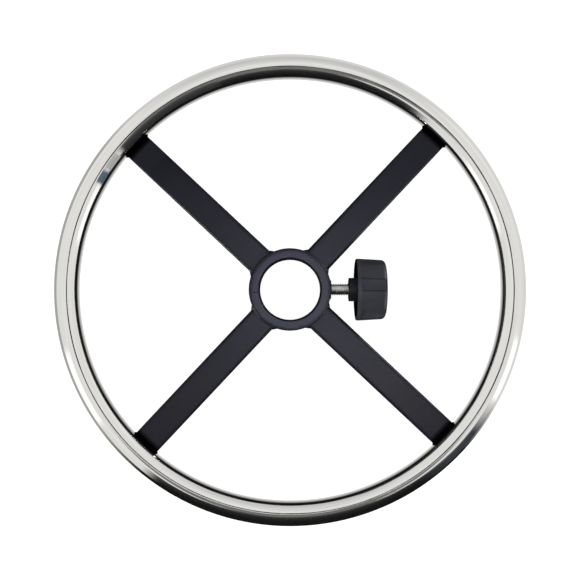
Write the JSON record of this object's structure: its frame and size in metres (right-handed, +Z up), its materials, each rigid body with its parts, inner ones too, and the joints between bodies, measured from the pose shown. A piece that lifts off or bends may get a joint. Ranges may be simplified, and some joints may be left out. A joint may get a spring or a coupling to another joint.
{
  "type": "adjustable foot ring",
  "caption": "Tubular foot ring with flat spokes and a lined hub that slides on a chair column and is locked by a side clamp screw with a hand knob.",
  "frame": {"origin": "the point where the column's axis crosses the middle plane of the rim's tube, inside the hub's bore", "axes": "+Z up along the column's axis, towards the liner's flange; +X along the clamp screw, from the column out to the knob; +Y completes the right-handed frame in the rim's plane"},
  "size_m": [0.3999, 0.4, 0.0531],
  "materials": {
    "polished_steel": "bright polished stainless steel with fine polishing lines round the ring",
    "black_powder_coat": "satin black powder coat with a fine texture",
    "liner_plastic": "moulded black nylon, satin",
    "zinc_steel": "bright zinc plate",
    "brass": "turned brass",
    "knob_plastic": "moulded black plastic, satin, slightly grained"
  },
  "bodies": {
    "frame": {"rim_tube": "polished_steel", "spoke_1": "black_powder_coat", "spoke_2": "black_powder_coat", "spoke_3": "black_powder_coat", "spoke_4": "black_powder_coat", "hub_collar": "black_powder_coat", "liner_bush": "liner_plastic", "hub_welds": "black_powder_coat", "rim_welds": "black_powder_coat", "weld_bush": "black_powder_coat"},
    "pad": {"thrust_pad": "brass"},
    "knob": {"clamp_stud": "zinc_steel", "knob_body": "knob_plastic"}
  },
  "joints": [
    {"name": "clamp_travel", "type": "slide", "parent": "frame", "child": "pad", "axis": [-1, 0, 0], "range_m": [-0.00076, 0.00901]},
    {"name": "knob_turn", "type": "hinge", "parent": "pad", "child": "knob", "pos_m": [0.04, 0, 0.003], "axis": [-1, 0, 0], "range_deg": [-180, 2160]}
  ],
  "couplings": [
    {"joint": "clamp_travel", "follows": "knob_turn", "m_per_rad": 0.00023873}
  ]
}
